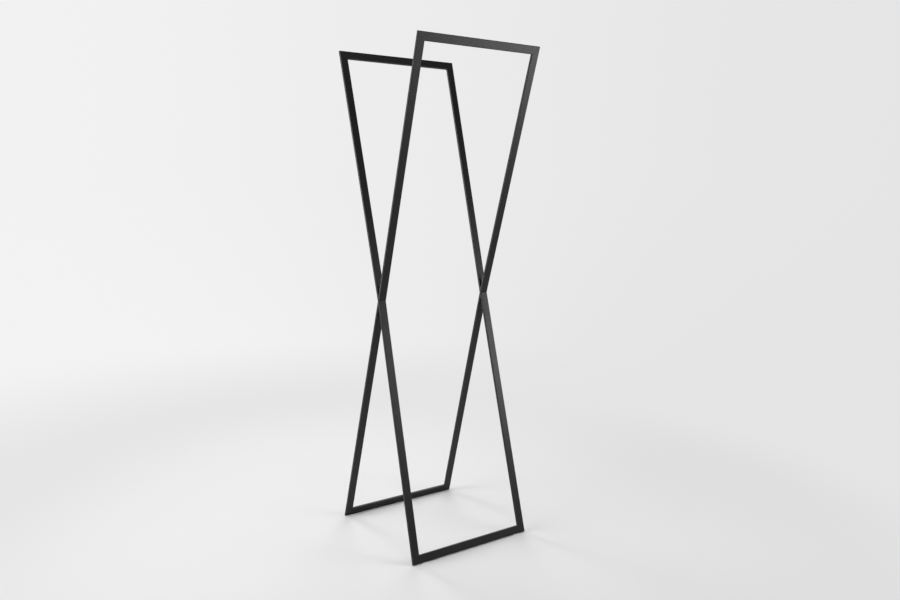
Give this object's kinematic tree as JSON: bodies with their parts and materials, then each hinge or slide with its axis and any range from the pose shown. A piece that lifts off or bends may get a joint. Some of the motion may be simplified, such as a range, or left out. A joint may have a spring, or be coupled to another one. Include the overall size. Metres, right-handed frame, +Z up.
{
  "type": "clothes stand",
  "caption": "Tall free-standing clothes stand of slim black rectangular tube, X-shaped from the side, with hanging rails at the top and matching rails along the floor.",
  "frame": {"origin": "on the floor, at the middle of the stand's footprint", "axes": "+X along the rails, to the right seen from the front; +Y from front to rear; +Z up"},
  "size_m": [0.52, 0.56, 1.85],
  "materials": {
    "satin_black_coat": "satin powder coat with a very fine grain",
    "cast_aluminium": "as cast",
    "dark_screw_steel": "black oxide",
    "natural_nylon": "natural, as moulded"
  },
  "bodies": {
    "root": {"top_rail_front": "satin_black_coat", "top_rail_rear": "satin_black_coat", "bottom_rail_front": "satin_black_coat", "bottom_rail_rear": "satin_black_coat", "upright_front_right_upper": "satin_black_coat", "upright_front_left_upper": "satin_black_coat", "upright_rear_right_upper": "satin_black_coat", "upright_rear_left_upper": "satin_black_coat", "upright_front_right_lower": "satin_black_coat", "upright_front_left_lower": "satin_black_coat", "upright_rear_right_lower": "satin_black_coat", "upright_rear_left_lower": "satin_black_coat", "waist_connector_right": "cast_aluminium", "waist_connector_left": "cast_aluminium", "connector_screws_right": "dark_screw_steel", "connector_screws_left": "dark_screw_steel", "glide_front_right": "natural_nylon", "glide_front_left": "natural_nylon", "glide_rear_right": "natural_nylon", "glide_rear_left": "natural_nylon"}
  },
  "joints": []
}
